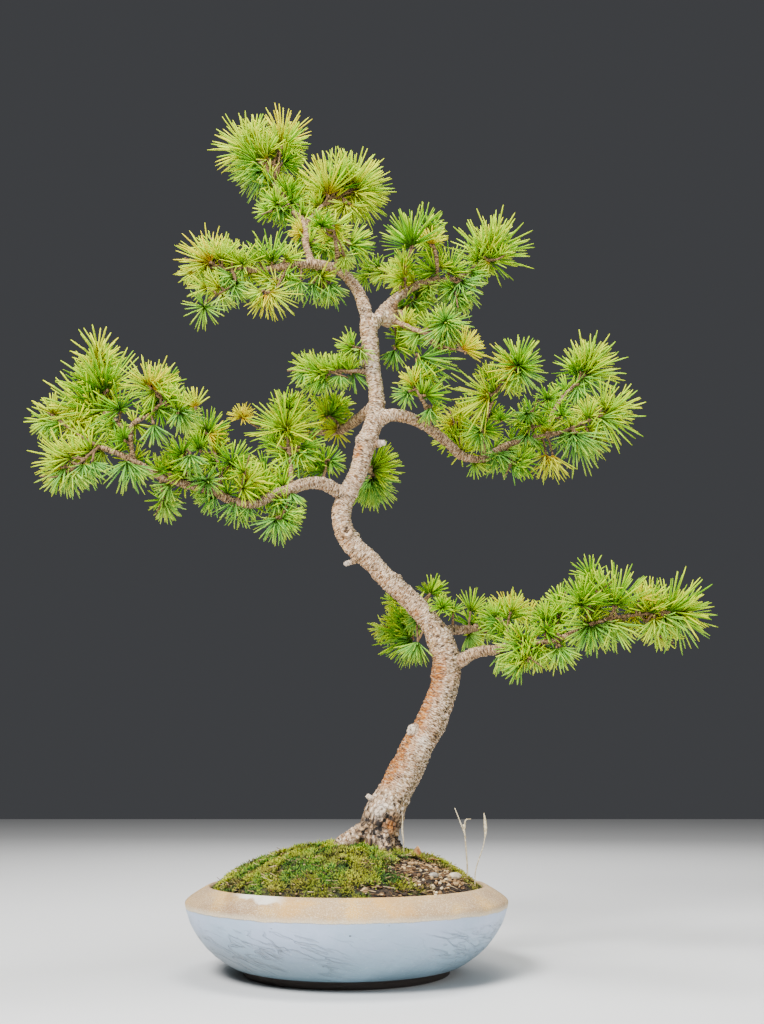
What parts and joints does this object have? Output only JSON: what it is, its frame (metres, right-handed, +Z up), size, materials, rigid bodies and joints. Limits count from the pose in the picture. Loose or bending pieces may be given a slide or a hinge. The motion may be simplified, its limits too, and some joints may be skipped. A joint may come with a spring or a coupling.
{
  "type": "larch bonsai",
  "caption": "Larch bonsai with a curved trunk and spreading branches of soft green needle tufts, growing in a mossed mound in a round shallow stoneware pot.",
  "frame": {"origin": "centre of the pot's flat foot, on the surface that it stands on", "axes": "+Z up, along the pot's axis. +X towards the low right-hand branch, and -Y towards the front of the tree"},
  "size_m": [0.6525, 0.3047, 0.8989],
  "materials": {
    "pot": "satin",
    "drain_mesh": "matte",
    "soil": "matte",
    "moss": "matte",
    "bark": "matte",
    "needles": "satin",
    "dry_leaf": "matte",
    "stone": "matte",
    "stalk": "matte"
  },
  "bodies": {
    "root": {"drain_mesh_left": "drain_mesh", "drain_mesh_right": "drain_mesh", "dry_leaf": "dry_leaf", "moss": "moss", "pot": "pot", "soil": "soil", "spray_apex": "needles", "spray_apex_back": "needles", "spray_apex_front": "needles", "spray_apex_low": "needles", "spray_apex_right": "needles", "spray_behind_leader": "needles", "spray_behind_mid": "needles", "spray_behind_trunk": "needles", "spray_burl": "needles", "spray_burl_low": "needles", "spray_burl_shoot": "needles", "spray_far_left": "needles", "spray_far_left_up": "needles", "spray_leader_right_upright": "needles", "spray_leader_upright": "needles", "spray_left_back": "needles", "spray_left_drop": "needles", "spray_left_front": "needles", "spray_left_hanging": "needles", "spray_left_high": "needles", "spray_left_inner": "needles", "spray_left_low": "needles", "spray_left_mid": "needles", "spray_left_near": "needles", "spray_left_tip": "needles", "spray_left_under": "needles", "spray_left_upright": "needles", "spray_low_back": "needles", "spray_low_drop": "needles", "spray_low_high": "needles", "spray_low_inner": "needles", "spray_low_tip": "needles", "spray_low_up": "needles", "spray_right_centre": "needles", "spray_right_drop": "needles", "spray_right_front": "needles", "spray_right_hanging": "needles", "spray_right_inner": "needles", "spray_right_inner_up": "needles", "spray_right_outer_tip": "needles", "spray_right_outer_up": "needles", "spray_right_tip": "needles", "spray_right_upright": "needles", "spray_second_left": "needles", "spray_second_left_up": "needles", "spray_small_left": "needles", "spray_trunk_tuft": "needles", "stalk_forked": "stalk", "stalk_seeded": "stalk", "stone_grey": "stone", "stone_pale": "stone", "trunk_and_branches": "bark"}
  },
  "joints": []
}
